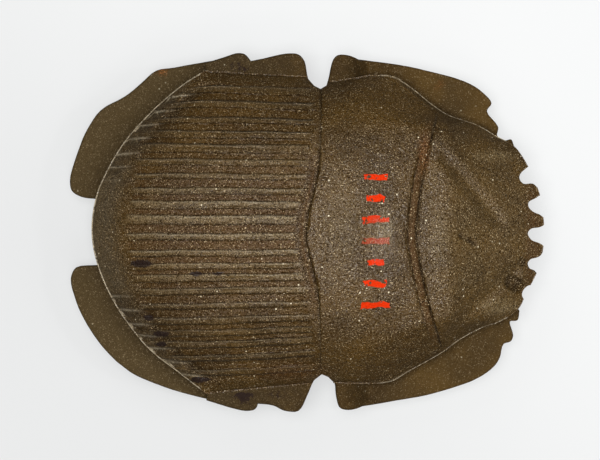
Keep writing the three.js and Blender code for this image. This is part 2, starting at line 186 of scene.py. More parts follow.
# Rows and columns of the nets that carry the carving, and the fields that the leg plates are cut into
WING_NET = (90, 420)
FRONT_NET = (200, 190)
PLATE_STEP = 0.5 * MM

# Sizes of the stone's grains and clouds
GRAINS = {"fine": 0.1 * MM, "grit": 0.085 * MM, "middle": 0.45 * MM, "clouds": 3.5 * MM}
STREAK = 0.15 * MM
GLINT_SPACING = 0.5 * MM

# The amulet's middle lies so many pixels right of the picture's and below it.
PIXELS_ACROSS, PIXELS_RIGHT, PIXELS_BELOW = 600, 7, 2.4
# Height at which the picture has its given width
RIM_LEVEL = 5 * MM
# Lamps, as name, place, size and share of the light's power
LAMPS = (
    ("overhead", (-0.06, 0.0, 0.8), 0.3, 1.0),
    ("side", (-0.2, 0.45, 0.6), 0.3, 0.11),
    ("low", (0.05, -0.45, 0.6), 0.3, 0.13),
    ("front", (0.5, -0.1, 0.45), 0.4, 0.15),
    ("spark", (0.44, -0.01, 0.7), 0.06, 0.1),
)


def linear(code):
    """Linear colour of an sRGB hex code."""
    channels = [int(code[k:k + 2], 16) / 255 for k in (1, 3, 5)]
    return [c / 12.92 if c <= 0.04045 else ((c + 0.055) / 1.055) ** 2.4 for c in channels]


def colour_setting(name, description, code):
    return FloatVectorProperty(
        name=name, description=description, default=linear(code), subtype="COLOR", min=0, max=1)


def size_setting(name, description, default, low, high):
    """A length, with its default and its limits in millimetres."""
    return FloatProperty(
        name=name, description=description, default=default * MM, min=low * MM, max=high * MM,
        unit="LENGTH", precision=5)


class BackSettings(bpy.types.PropertyGroup):
    """Carving of the domed back."""
    rim_thickness: size_setting("Rim Thickness", "Height of the back's upright edge", 0.6, 0.1, 2)
    fullness: FloatProperty(
        name="Fullness", description="Flatness of the back's top, where more is flatter",
        default=2.2, min=1.6, max=4)
    side_fall: FloatProperty(
        name="Side Fall", description="Slant of the back at the rim, where less is steeper",
        default=0.65, min=0.4, max=1)
    grooves: IntProperty(
        name="Grooves", description="Number of lengthwise grooves in the wing cases",
        default=22, min=4, max=60)
    rib_depth: size_setting("Rib Depth", "Depth of the grooves between the ribs", 0.24, 0, 1)
    cut_depth: size_setting(
        "Cut Depth", "Depth of the cuts that part wing cases, neck shield and head", 0.22, 0, 1)
    cut_width: size_setting("Cut Width", "Half width of those cuts", 0.09, 0.05, 1)
    wing_step: size_setting("Wing Step", "Drop from the wing cases to the neck shield", 0.15, 0, 1)
    ledge: size_setting("Ledge", "Width of the narrow ledge along the rim", 0.08, 0, 1)
    band_width: size_setting("Band Width", "Width of the plain band between a pair of cuts", 0.6, 0.1, 2)


class LegSettings(bpy.types.PropertyGroup):
    """Legs and belly below the back."""
    thickness: size_setting("Leg Thickness", "Height of the leg plates above the floor", 3.2, 0.5, 8)
    undercut: size_setting(
        "Undercut", "Gap between the leg plates and the back's overhanging edge", 1.2, 0.2, 3)
    undercut_depth: size_setting(
        "Undercut Depth", "How far the belly's wall stands back from the rim", 2.8, 0.2, 5)
    belly_recess: size_setting("Belly Recess", "Height of the belly above the floor", 1.8, 0, 3)
    rounding: size_setting("Rounding", "Rounding of the leg plates' worn edges", 0.18, 0.05, 1.5)
    tooth_rounding: size_setting("Tooth Rounding", "Rounding of the toothed fore shins' edges", 0.15, 0.02, 1)
    hole: size_setting("Cord Hole", "Diameter of the hole through the belly's lug", 1.1, 0.3, 2)


class StoneSettings(bpy.types.PropertyGroup):
    """Colours of the stone and of what lies on it."""
    body: colour_setting("Stone", "Middle tone of the worn stone", "#584018")
    shade: colour_setting("Dark Tone", "Darker clouds in the stone", "#443114")
    shelter: colour_setting("Sheltered Tone", "Dull tone of the hind legs below the rim", "#4a3c24")
    # This tone also paints highlight on the top of the back, along one side of each rib and on pale patches
    # of brow, head and neck shield.
    crest: colour_setting("Rubbed Crest", "Greyer tone of rubbed crests", "#7d6a49")
    earth: colour_setting("Earth", "Brown earth in the grooves", "#51371a")
    # This dark tone also paints shade on the darker tail, on a dark line of each rim facet and on the legs
    # beside the rim; dark grains use it too.
    soil_and_shade: colour_setting("Soil", "Dark soil left in the cuts", "#1e1205")
    grain: colour_setting("Grain", "Pale mineral grains", "#cdb68e")
    # Glints are painted highlights: bright dots that stand in for grains catching the light.
    glint: colour_setting("Glint", "Single bright grains", "#e6d8b8")
    # This tone also paints highlight as a pale line along the rim, a thin line beside each groove and a line
    # on each rim facet.
    edge: colour_setting("Rubbed Edge", "Pale grey of the rubbed rim", "#b5a88e")
    speck: colour_setting("Dark Specks", "Violet-black mineral specks", "#241815")
    rust: colour_setting("Rust", "Orange-brown iron stains", "#7d4716")
    paint: colour_setting("Paint", "Orange-red paint of the brush strokes", "#dc3000")


class StageSettings(bpy.types.PropertyGroup):
    """Floor, light and camera."""
    floor: colour_setting("Floor", "Colour of the pale floor", "#f2f3f3")
    camera_height: FloatProperty(
        name="Camera Height", description="Distance of the camera above the floor",
        default=0.5, min=0.1, max=3, unit="LENGTH")
    view_width: size_setting("View Width", "Width of the picture at the height of the rim", 40.5, 20, 1000)
    light_power: FloatProperty(
        name="Light Power", description="Power of the soft light overhead", default=5.9, min=0, max=100,
        unit="POWER")
    sky: FloatProperty(
        name="Surround", description="Strength of the white surround", default=0.1, min=0, max=5)


# Curves and easing

def ease(low, high, t):
    u = np.clip((t - low) / (high - low), 0, 1)
    return u * u * (3 - 2 * u)


def fade(low, high, t):
    """1 below the low limit and 0 above the high one."""
    return 1 - ease(low, high, t)


def bell(distance, width):
    return np.exp(-(distance / width) ** 2)


def mix(a, b, t):
    return a + (b - a) * t


def by_side(across, pair):
    """The first of a pair on the right side, the second on the left."""
    return np.where(across < 0, *pair)


def place(share):
    """A point of the plan from its shares of length and width."""
    return np.array((CENTRE.x + share[0] * LENGTH, CENTRE.y + share[1] * WIDTH))


def smooth_run(shares, steps):
    """Points of a smooth run through the given ones, closer together round tight bends."""
    points = np.array([place(share) for share in shares])
    ends = np.vstack((2 * points[0] - points[1], points, 2 * points[-1] - points[-2]))
    run = []
    for a, b, c, d in zip(ends, ends[1:], ends[2:], ends[3:]):
        before, here, after = (math.sqrt(np.linalg.norm(q - p)) for p, q in ((a, b), (b, c), (c, d)))
        leave = ((b - a) / before - (c - a) / (before + here) + (c - b) / here) * here
        reach = ((c - b) / here - (d - b) / (here + after) + (d - c) / after) * here
        t = np.linspace(0, 1, steps, endpoint=False)[:, None]
        square, cube = 3 * (c - b) - 2 * leave - reach, 2 * (b - c) + leave + reach
        run.append(b + leave * t + square * t ** 2 + cube * t ** 3)
    return np.vstack(run + [points[-1:]])


TAIL_RUN = smooth_run(TAIL_EDGE, 12)
FRONT_RUN = smooth_run(FRONT_EDGE, 12)


def tail_x(y):
    return np.interp(y, TAIL_RUN[:, 1], TAIL_RUN[:, 0])


def front_x(y):
    return np.interp(y, FRONT_RUN[:, 1], FRONT_RUN[:, 0])


def wing_front_x(y):
    """The wing cases' front edge, which bows to the tail in the middle."""
    return LENGTH * (WING_FRONT - WING_BOW * bell(y, WING_BOW_REACH * WIDTH))


def neck_x(y):
    """The cut behind the head, an arc that stays inside the front edge."""
    arc = LENGTH * (NECK + by_side(y, NECK_BOWS) * np.abs(y / (NECK_BOW_REACH * WIDTH)) ** 1.5)
    return np.minimum(arc, front_x(y) - NECK_INSET * LENGTH)


class Back:
    """Surface of the domed back, as functions of place across and along it."""

    def __init__(self, back, legs):
        self.back = back
        self.underside = legs.thickness + legs.undercut
        self.rim = self.underside + back.rim_thickness
        self.grooves = np.interp(
            np.linspace(0, 1, back.grooves), np.linspace(0, 1, len(GROOVES)), GROOVES)

    def dome(self, t):
        return (1 - np.minimum(1, np.abs(t)) ** self.back.fullness) ** self.back.side_fall

    def bend(self, across, x, from_tail):
        """Grooves bend to the middle along the tail's rim, and wander a little."""
        wander = 0.002 * np.sin(x / (1.3 * MM) + 11 * across) + 0.0015 * np.sin(x / (0.5 * MM) - 23 * across)
        return across + 0.05 * across * np.abs(across) * np.exp(-from_tail / (1.2 * MM)) + wander

    def rib_place(self, across):
        """Number of the groove to the right of a place, and how far it lies on to the next, 0 to 1."""
        count = np.interp(across, self.grooves, np.arange(len(self.grooves)))
        number = np.clip(np.floor(count), 0, len(self.grooves) - 2)
        return number, count - number

    def sway(self, x, number):
        """Slow change along each groove, 0 to 1."""
        return 0.5 + 0.5 * np.sin(x / (1.9 * MM) + 5 * number)

    def groove_shape(self, number, share, sway):
        """Half width of the nearest groove and the distance to it, as shares of the ribs' pitch."""
        nearest = number + (share > 0.5)
        return 0.25 + 0.06 * np.sin(nearest * 7.7) + 0.02 * sway, np.minimum(share, 1 - share)

    def inside_ledge(self, across):
        """The place across, stretched so that the dome starts inside the narrow ledge along the rim."""
        return np.minimum(1, np.abs(across) / (1 - self.back.ledge / (SHIELD_WAIST[1] * WIDTH)))

    def wing(self, across, t):
        """Point of the wing cases: across from -1 to 1, t from 0 at the tail's edge to 1 at the front."""
        y_tail = across * by_side(across, TAIL_CORNERS) * WIDTH
        y_waist = across * by_side(across, WING_WAIST) * WIDTH
        tail, front = tail_x(y_tail), wing_front_x(y_waist)
        x, y = mix(tail, front, t), mix(y_tail, y_waist, t)
        ledge = self.back.ledge
        up = np.clip((x - tail - ledge) / (front - tail - ledge), 0, 1)
        shape = self.dome(1 - up) * self.dome(self.inside_ledge(across))
        z = self.rim + (HEIGHT - self.rim) * shape - self.rib_relief(across, x, x - tail, front)
        return np.stack((x, y, z), axis=1)

    def rib_relief(self, across, x, from_tail, front):
        """Depth of the grooves between the ribs, which run out near the tail and before the front band."""
        wide = np.abs(across)
        bent = self.bend(across, x, from_tail)
        number, share = self.rib_place(bent)
        uneven = np.sin(number * 12.9898) * 0.5 + 0.5
        sway = self.sway(x, number)
        inside = (bent > self.grooves[0]) & (bent < self.grooves[-1])
        # Grooves are broad and flat-bottomed, with crisp shoulders and here and there a second scratch.
        half, beside = self.groove_shape(number, share, sway)
        cut = fade(half - 0.07, half + 0.07, beside)
        scratch = 0.5 * bell(share - 0.35 - 0.3 * uneven, 0.04) * sway
        outside = np.maximum(fade(0, 0.016, self.grooves[0] - bent), fade(0, 0.016, bent - self.grooves[-1]))
        cut = np.where(inside, np.maximum(cut, scratch), outside)
        starts = mix(1.5 * MM, 0.1 * MM, ease(0.25, 0.7, wide)) + 0.5 * uneven * MM
        ends = front - self.back.band_width * mix(1, 0.3, ease(0.45, 0.7, wide)) - 0.25 * uneven * MM
        run = ease(starts, starts + 1.1 * MM, from_tail) * fade(ends - 0.3 * MM, ends + 0.05 * MM, x)
        # Short cuts across the rim face the tail, on both flanks.
        notches = ease(0.05 * MM, 0.2 * MM, from_tail) * fade(0.5 * MM, 1.4 * MM, from_tail)
        notches = notches * ease(0.2, 0.4, wide) * fade(0.8, 0.88, wide)
        flank = ease(0.04, 0.14, 1 - wide)
        # On steep places a groove has to go deeper to show as much from above.
        steep = 1 + 0.7 * ease(0.3, 1, wide) + 1.2 * fade(0, 4 * MM, from_tail)
        depth = 0.75 * self.back.rib_depth * steep * (0.75 + 0.5 * uneven) * (0.85 + 0.15 * sway)
        band_cut = 0.06 * MM * bell(x - front + self.back.band_width, 0.1 * MM) * fade(0.3, 0.6, wide)
        return depth * cut * np.maximum(run * flank, notches) + band_cut

    def front(self, across, t):
        """Point of the neck shield, t from 0 to 0.5, and of the head, on to 1."""
        spread = np.clip(t / 0.4, 0, 1)
        y = across * mix(by_side(across, SHIELD_WAIST), by_side(across, SHIELD_CORNERS), spread) * WIDTH
        rear, neck, front = wing_front_x(y), neck_x(y), front_x(y)
        on_head = t > 0.5
        shield_share, head_share = np.clip(2 * t, 0, 1), np.clip(2 * t - 1, 0, 1)
        x = np.where(on_head, mix(neck, front, head_share), mix(rear, neck, shield_share))
        across_in, ledge = self.inside_ledge(across), self.back.ledge

        def shoulders(place_x):
            up = np.clip((front - place_x - ledge) / (SHOULDER_SHARE * LENGTH), 0, 1)
            return self.dome(across_in) * self.dome(1 - up)

        shield_rear, shield_front = HEIGHT - self.back.wing_step, HEIGHT * NECK_SHARE
        level = mix(shield_rear, shield_front, shield_share ** 1.6)
        # The head falls gently over the brow and then evenly to the teeth.
        fallen = np.clip((x - neck) / (front - neck - ledge), 0, 1)
        slope = soft_minimum(1 - 0.25 * fallen, 0.94 * (1 - fallen) / (1 - BROW_SHARE), 0.03)
        on_shield = self.rim + (level - self.rim) * shoulders(x)
        on_slope = self.rim + (shield_front - self.rim) * slope * shoulders(neck)
        z = np.where(on_head, on_slope, on_shield)
        return np.stack((x, y, z - self.front_relief(across, x, y, rear, neck, front)), axis=1)

    def front_relief(self, across, x, y, rear, neck, front):
        """How deep the cuts, creases and chips of neck shield and head go."""
        back = self.back
        shallow = np.minimum(1, 3 * self.dome(across))
        wide = np.abs(across)
        sway = 0.04 * MM * np.sin(y / (0.7 * MM)) + 0.03 * MM * np.sin(y / (0.31 * MM))
        rear_cut = bell(x - rear - sway, back.cut_width) * shallow * mix(1, 0.4, ease(0.4, 0.6, wide))
        neck_cut = 0.8 * bell(x - neck - sway, back.cut_width) * fade(0.62, 0.78, wide)
        fine_cut = 0.7 * bell(x - neck + back.band_width - sway, 0.8 * back.cut_width)
        fine_cut = fine_cut * fade(0.42, 0.62, wide)
        deep = back.cut_depth * np.maximum.reduce((rear_cut, neck_cut, fine_cut))
        for start, end in CREASES:
            crease = segment_distance(x, y, place(start), place(end))
            deep = deep + 0.4 * MM * fade(0, 0.8 * MM, crease) * ease(0.2 * MM, 1.2 * MM, x - neck)
        deep = deep + 0.15 * MM * fade(0, 0.2 * MM, nick_distance(x, y))
        for inside, depth in chips(x, y):
            deep = deep + depth * inside
        return deep * np.minimum(1, (front - x) / (0.3 * MM))


def soft_minimum(a, b, width):
    """The lesser of two values, with a rounded change from one to the other."""
    return -width * np.log(np.exp(-a / width) + np.exp(-b / width))


def chips(x, y):
    """Each chip as how far inside it the places lie, 0 to 1, and its depth."""
    for middle_x, middle_y, half_length, half_width, depth in CHIPS:
        across_x, across_y = x - middle_x * MM, y - middle_y * MM
        u = math.cos(CHIP_SLANT) * across_x + math.sin(CHIP_SLANT) * across_y
        v = math.cos(CHIP_SLANT) * across_y - math.sin(CHIP_SLANT) * across_x
        reach = ((u / (half_length * MM)) ** 4 + (v / (half_width * MM)) ** 4) ** 0.25
        yield fade(0.8, 1.1, reach), depth * MM


def nick_distance(x, y):
    return segment_distance(x, y, *(np.array(end) * MM for end in NICK))


def segment_distance(x, y, start, end):
    """Distance in the plan from each place to a straight segment."""
    along = end - start
    share = np.clip(((x - start[0]) * along[0] + (y - start[1]) * along[1]) / (along @ along), 0, 1)
    return np.hypot(x - start[0] - share * along[0], y - start[1] - share * along[1])


# Solid stones to be joined

def as_object(bm, name):
    mesh = bpy.data.meshes.new(name)
    bm.to_mesh(mesh)
    bm.free()
    piece = bpy.data.objects.new(name, mesh)
    bpy.context.scene.collection.objects.link(piece)
    return piece


def draped_block(name, net_size, surface, bottom):
    """A block whose top is a net laid on a surface, with an upright edge and a flat underside."""
    bm = bmesh.new()
    bmesh.ops.create_grid(bm, x_segments=net_size[0], y_segments=net_size[1], size=1)
    net = np.array([vertex.co[:2] for vertex in bm.verts])
    for vertex, point in zip(bm.verts, surface((net[:, 0] + 1) / 2, net[:, 1])):
        vertex.co = point
    rim = [edge for edge in bm.edges if edge.is_boundary]
    wall = bmesh.ops.extrude_edge_only(bm, edges=rim)["geom"]
    for vertex in (item for item in wall if isinstance(item, bmesh.types.BMVert)):
        vertex.co.z = bottom
    foot = [item for item in wall if isinstance(item, bmesh.types.BMEdge)]
    underside = bmesh.ops.contextual_create(bm, geom=foot)["faces"]
    bmesh.ops.triangulate(bm, faces=underside)
    bmesh.ops.recalc_face_normals(bm, faces=bm.faces)
    return as_object(bm, name)


def plate(name, outline, bottom, top, rounding, mesh_step=0.0):
    """A plate of the given outline with worn edges, cut into small fields when mesh_step is given."""
    bm = bmesh.new()
    sole = bm.faces.new([bm.verts.new((x, y, bottom)) for x, y in outline])
    lifted = bmesh.ops.extrude_face_region(bm, geom=[sole])["geom"]
    bmesh.ops.translate(
        bm, vec=(0, 0, top - bottom), verts=[item for item in lifted if isinstance(item, bmesh.types.BMVert)])
    bmesh.ops.recalc_face_normals(bm, faces=bm.faces)
    if rounding:
        level = [edge for edge in bm.edges if abs(edge.verts[0].co.z - edge.verts[1].co.z) < 1e-7]
        bmesh.ops.bevel(
            bm, geom=level, offset=rounding, segments=4, profile=0.5, affect="EDGES", material=-1,
            clamp_overlap=False)
    if mesh_step:
        for axis in (0, 1):
            places = [vertex.co[axis] for vertex in bm.verts]
            for k in range(int(min(places) / mesh_step), int(max(places) / mesh_step) + 1):
                point, normal = Vector((0, 0, 0)), Vector((0, 0, 0))
                point[axis], normal[axis] = k * mesh_step, 1
                bmesh.ops.bisect_plane(
                    bm, geom=bm.verts[:] + bm.edges[:] + bm.faces[:], plane_co=point, plane_no=normal)
    bmesh.ops.triangulate(bm, faces=bm.faces)
    return as_object(bm, name)


def leg_outline(leg):
    outer, inner = leg
    return np.vstack((smooth_run(outer, 4), [place(share) for share in inner]))


def thigh_outline(knee, hip, side, breadth):
    """Outline of a thigh, wide at the knee and round at the hip."""
    start, end = (place((share[0], share[1] * side)) for share in (knee, hip))
    along = (end - start) / np.linalg.norm(end - start)
    across = np.array((-along[1], along[0]))
    reach = np.linalg.norm(end - start) - breadth / 2
    points = [start - across * breadth / 2]
    for angle in np.linspace(-math.pi / 2, math.pi / 2, 9):
        turn = 0.4 * breadth * (math.cos(angle) * along + math.sin(angle) * across)
        points.append(start + along * reach + turn)
    return points + [start + across * breadth / 2]


def cord_hole(diameter, height):
    bm = bmesh.new()
    bmesh.ops.create_cone(
        bm, cap_ends=True, segments=32, radius1=diameter / 2, radius2=diameter / 2, depth=8 * MM,
        matrix=Matrix.Translation((0, 0, height)) @ Matrix.Rotation(math.pi / 2, 4, "X"))
    return as_object(bm, "cord_hole")


def join(base, others, operation):
    """Adds the other solids to the base, or takes them out of it, and removes them."""
    for other in others:
        modifier = base.modifiers.new(other.name, "BOOLEAN")
        modifier.operation = operation
        modifier.solver = "MANIFOLD"
        modifier.object = other
    depsgraph = bpy.context.evaluated_depsgraph_get()
    joined = bpy.data.meshes.new_from_object(base.evaluated_get(depsgraph))
    base.modifiers.clear()
    old, base.data = base.data, joined
    bpy.data.meshes.remove(old)
    for other in others:
        mesh = other.data
        bpy.data.objects.remove(other)
        bpy.data.meshes.remove(mesh)


def is_open(mesh):
    """Whether a mesh is empty or has an edge that doesn't join two faces."""
    bm = bmesh.new()
    bm.from_mesh(mesh)
    found = not bm.faces or any(not edge.is_manifold for edge in bm.edges)
    bm.free()
    return found


# Wear and the paint masks

def vertex_data(mesh, name):
    values = np.empty(len(mesh.vertices) * 3)
    mesh.vertices.foreach_get(name, values)
    return values.reshape(-1, 3)


def weather(mesh):
    """Softens the carving with shallow uneven wear, and leaves the soles flat."""
    points, normals = vertex_data(mesh, "co"), vertex_data(mesh, "normal")
    swell = np.array([noise.noise(Vector(p) / (2.2 * MM)) for p in points])
    pits = np.array([noise.noise(Vector(p) / (0.45 * MM)) for p in points])
    shift = (0.035 * swell + 0.012 * pits) * MM
    shift = np.where(points[:, 2] < 0.05 * MM, 0, shift)
    moved = points + normals * shift[:, None]
    moved[:, 2] = np.clip(moved[:, 2], LOW.z, HIGH.z)
    mesh.vertices.foreach_set("co", moved.ravel())
    mesh.update()


def spot(points, spots):
    """Mask of soft oval spots."""
    mask = np.zeros(len(points))
    for cx, cy, half_x, half_y, strength in spots:
        reach = np.hypot((points[:, 0] - cx * MM) / (half_x * MM), (points[:, 1] - cy * MM) / (half_y * MM))
        mask = np.maximum(mask, strength * fade(0.3, 1.5, reach))
    return mask


def wing_place(x, y):
    """How far across the wing cases each place lies, and the x of their tail and front edges there."""
    waist, corner = by_side(y, WING_WAIST), by_side(y, TAIL_CORNERS)
    t = np.full(len(x), 0.5)
    for _ in range(6):
        across = y / (mix(corner, waist, t) * WIDTH)
        tail, front = tail_x(across * corner * WIDTH), wing_front_x(across * waist * WIDTH)
        t = np.clip((x - tail) / (front - tail), 0, 1)
    return across, tail, front


def wing_masks(surface, x, y, upper):
    """Layers of soil and painted shade, earth, rubbed crests and pale edges with painted highlight on the
    wing cases.
    """
    band = surface.back.band_width
    across, tail, front = wing_place(x, y)
    wide, from_tail = np.abs(across), x - tail
    number, share = surface.rib_place(surface.bend(across, x, from_tail))
    sway = surface.sway(x, number)
    half, beside = surface.groove_shape(number, share, sway)
    relief = surface.rib_relief(across, x, from_tail, front) / surface.back.rib_depth
    flank, near_middle = ease(0.1, 0.6, wide), fade(0.35, 0.6, wide)
    on_wing = upper * (x < front - 0.2 * MM) * (wide < 1)
    starts = mix(2.2 * MM, 0.7 * MM, ease(0.25, 0.6, wide))
    ribs = on_wing * ease(starts, starts + 0.6 * MM, from_tail) * (wide < 0.93) * (x < front - band)
    shoulder = ribs * bell(beside - half, 0.05) * (0.75 + 0.25 * sway)
    # Each rib is paler along its left shoulder, partly rubbing and partly painted highlight, most of all on
    # the top of the back.
    rubbed_and_lit = ribs * ease(half - 0.02, half + 0.06, beside) * mix(0.3, 1, ease(0.3, 0.7, share))
    # A thin painted highlight runs beside each groove.
    gleam = ribs * bell(1 - share - half - 0.08, 0.04) * (0.5 + 0.5 * sway)
    # Painted shade darkens the tail where it slopes away, and the tail is also rubbed; each facet along its
    # rim has a pale line of painted highlight and a dark line of painted shadow.
    tail_shade = on_wing * ease(0.2 * MM, 0.8 * MM, from_tail) * fade(1.3 * MM, 2.8 * MM, from_tail)
    tail_rub = on_wing * fade(0.9 * MM, 2.4 * MM, from_tail) * fade(0.3, 0.5, wide)
    facets = on_wing * ease(0.25, 0.45, wide) * fade(0.85, 0.95, wide)
    pale_line = facets * fade(0.3 * MM, 1.9 * MM, from_tail) * (0.1 + 1.2 * bell(share - 0.2, 0.07))
    dark_line = facets * fade(0.8 * MM, 2 * MM, from_tail) * bell(share - 0.4, 0.1)
    front_cut = fade(0.02 * MM, 0.1 * MM, np.abs(x - front)) * mix(0.85, 0.5, ease(0.4, 0.6, wide))
    fine_cut = fade(0.02 * MM, 0.1 * MM, np.abs(x - front + band)) * near_middle
    front_earth = fade(0.2 * MM, 0.35 * MM, np.abs(x - front + band / 2)) * near_middle
    return {
        # Soil here also holds painted shade on the darker tail and the dark facet lines. It also darkens the
        # deepest grooves near the tail.
        "soil_and_shade": (upper * front_cut, 0.5 * upper * fine_cut, shoulder, 0.6 * dark_line,
                 0.5 * tail_shade * fade(0.7, 0.85, wide),
                 0.6 * on_wing * ease(0.9, 1.6, relief) * (from_tail < 2 * MM)),
        "earth": (0.8 * upper * front_earth,
                  mix(0.65, 0.2, flank) * upper * ribs * fade(half - 0.05, half + 0.05, beside)),
        # Rubbed crests with painted highlight, strongest on the top of the back.
        "crest": (mix(1, 0.25, flank) * rubbed_and_lit, 0.6 * tail_rub),
        # The pale edge lines here are painted highlight.
        "edge": (mix(0.5, 0.3, flank) * gleam, pale_line, 0.1 * tail_rub),
    }


def front_masks(surface, x, y, upper):
    """Layers of soil and earth on neck shield and head."""
    band = surface.back.band_width
    neck, wide = neck_x(y), np.abs(y / WIDTH)
    near_middle = fade(0.2, 0.36, wide)
    neck_cut = fade(0.03 * MM, 0.13 * MM, np.abs(x - neck)) * fade(0.3, 0.4, wide)
    fine_cut = fade(0.02 * MM, 0.1 * MM, np.abs(x - neck + band)) * near_middle
    neck_earth = fade(0.2 * MM, 0.35 * MM, np.abs(x - neck + band / 2)) * near_middle
    chipped = np.maximum.reduce([inside for inside, _ in chips(x, y)])
    nick = fade(0.05 * MM, 0.2 * MM, nick_distance(x, y))
    return {
        "soil_and_shade": (upper * neck_cut, 0.7 * upper * fine_cut, 0.75 * upper * chipped, 0.8 * upper * nick),
        "earth": (0.9 * upper * neck_earth, 0.8 * upper * ease(0.45 * LENGTH, 0.475 * LENGTH, x)),
    }


def paint_masks(mesh, surface):
    """Stores at each point how much soil and painted shade, earth, rubbing, painted highlight and other marks
    lie there.
    """
    points = vertex_data(mesh, "co")
    x, y, z = points.T
    upper = ease(surface.rim - 0.2 * MM, surface.rim + 0.4 * MM, z)
    legs = fade(surface.rim - 0.06 * MM, surface.rim - 0.02 * MM, z)
    wing, front = wing_masks(surface, x, y, upper), front_masks(surface, x, y, upper)
    # Little light reaches the legs right beside the rim, so a painted shadow darkens them there.
    beyond = np.where(x < 0, tail_x(y) - x, x - front_x(y)) * 0.7
    under_rim = 0.45 * bell(np.maximum(beyond, 0), 0.45 * MM)
    # A painted highlight runs as a pale line along the rim. It is fainter on the front half and left out
    # beside the knees.
    at_knees = (x > -0.225 * LENGTH) & (x < 0.15 * LENGTH) & (np.abs(y) > 0.35 * WIDTH)
    rim_line = fade(0.04 * MM, 0.13 * MM, np.abs(z - surface.rim)) * (x < 0.42 * LENGTH) * ~at_knees
    masks = {
        "soil_and_shade": np.maximum.reduce((*wing["soil_and_shade"], *front["soil_and_shade"], legs * under_rim)),
        "earth": np.maximum.reduce((*wing["earth"], *front["earth"])),
        "crest": np.maximum.reduce((*wing["crest"], spot(points, RUBBED_AND_LIT_PATCHES) * upper)),
        "edge": np.maximum.reduce((*wing["edge"], rim_line * np.where(x < 0, 1, 0.6))),
        "legs": legs,
        "hind": fade(-0.3 * LENGTH, 0.2 * LENGTH, x),
        "speck": spot(points, DARK_SPECKS) * (z > surface.rim - 0.1 * MM),
        "rust": spot(points, RUST_STAINS) * (z > surface.underside - 1.6 * MM),
        "varnish": spot(points, VARNISH),
    }
    for name, values in masks.items():
        attribute = mesh.attributes.new(name, "FLOAT", "POINT")
        attribute.data.foreach_set("value", values.astype(np.float32))


# Materials

def add(tree, kind, inputs=None, **settings):
    """A node with its settings and with its inputs set or linked."""
    node = tree.nodes.new(kind)
    for name, value in settings.items():
        setattr(node, name, value)
    for key, value in (inputs or {}).items():
        if isinstance(value, bpy.types.NodeSocket):
            tree.links.new(value, node.inputs[key])
        else:
            node.inputs[key].default_value = value
    return node


def blank_material(name):
    material = bpy.data.materials.new(name)
    material.use_nodes = True
    material.node_tree.nodes.clear()
    return material, material.node_tree


def rgba(colour):
    return (*colour, 1.0)


def blend(tree, share, low, high):
    """Colour between two, by a share."""
    return add(tree, "ShaderNodeMix", {0: share, 6: low, 7: high}, data_type="RGBA").outputs[2]


def calculate(tree, operation, a, b=0.0):
    return add(tree, "ShaderNodeMath", {0: a, 1: b}, operation=operation).outputs[0]


def plus(tree, a, b):
    return calculate(tree, "ADD", a, b)


def times(tree, a, b):
    return calculate(tree, "MULTIPLY", a, b)


def most(tree, a, b):
    return calculate(tree, "MAXIMUM", a, b)


def gap(tree, a, b):
    """Distance between two values."""
    return calculate(tree, "ABSOLUTE", calculate(tree, "SUBTRACT", a, b))


def ramp(tree, value, low, high, start=0.0, end=1.0):
    """A value stretched between two limits."""
    inputs = {"Value": value, "From Min": low, "From Max": high, "To Min": start, "To Max": end}
    return add(tree, "ShaderNodeMapRange", inputs, interpolation_type="SMOOTHSTEP").outputs[0]


def vector(tree, operation, a, inputs):
    return add(tree, "ShaderNodeVectorMath", {0: a, **inputs}, operation=operation).outputs[0]


def speckle(tree, where, size):
    """Noise with features of a given size."""
    inputs = {"Vector": where, "Scale": 1 / size, "Detail": 2.0, "Roughness": 0.6}
    return add(tree, "ShaderNodeTexNoise", inputs).outputs["Fac"]


def brush_strokes(tree, where):
    """Mask of a column of plain worn brush strokes across the neck shield."""
    pitch, half_length, half_breadth = 1.42 * MM, 0.95 * MM, 0.19 * MM
    middle_x, first_y, strokes, faintest = 4.55 * MM, 4.4 * MM, 7, 3.4
    blur, wobble_size, wobble_reach = 0.03 * MM, 0.7 * MM, 0.45 * MM
    wobble = add(tree, "ShaderNodeTexNoise", {"Vector": where, "Scale": 1 / wobble_size, "Detail": 1.0})
    pushed = vector(tree, "SUBTRACT", wobble.outputs["Color"], {1: (0.5, 0.5, 0.5)})
    pushed = vector(tree, "SCALE", pushed, {"Scale": wobble_reach})
    axes = add(tree, "ShaderNodeSeparateXYZ", {0: vector(tree, "ADD", where, {1: pushed})})
    down = calculate(tree, "DIVIDE", calculate(tree, "SUBTRACT", first_y, axes.outputs["Y"]), pitch)
    number, within = calculate(tree, "FLOOR", down), gap(tree, calculate(tree, "FRACT", down), 0.5)
    chance = add(tree, "ShaderNodeTexWhiteNoise", {"W": number}, noise_dimensions="1D").outputs["Value"]
    reach = times(tree, half_length, ramp(tree, chance, 0.0, 1.0, 0.6, 1.0))
    beyond = calculate(tree, "SUBTRACT", gap(tree, axes.outputs["X"], middle_x), reach)
    mask = ramp(tree, beyond, blur, -blur)
    for share in (
            ramp(tree, within, (half_breadth + blur) / pitch, (half_breadth - blur) / pitch),
            ramp(tree, down, -0.01, 0.01),
            ramp(tree, down, strokes + 0.01, strokes - 0.01),
            ramp(tree, speckle(tree, where, 0.35 * MM), 0.36, 0.42),
            ramp(tree, gap(tree, down, faintest), 0.4, 1.2, 0.35, 1.0)):
        mask = times(tree, mask, share)
    return mask


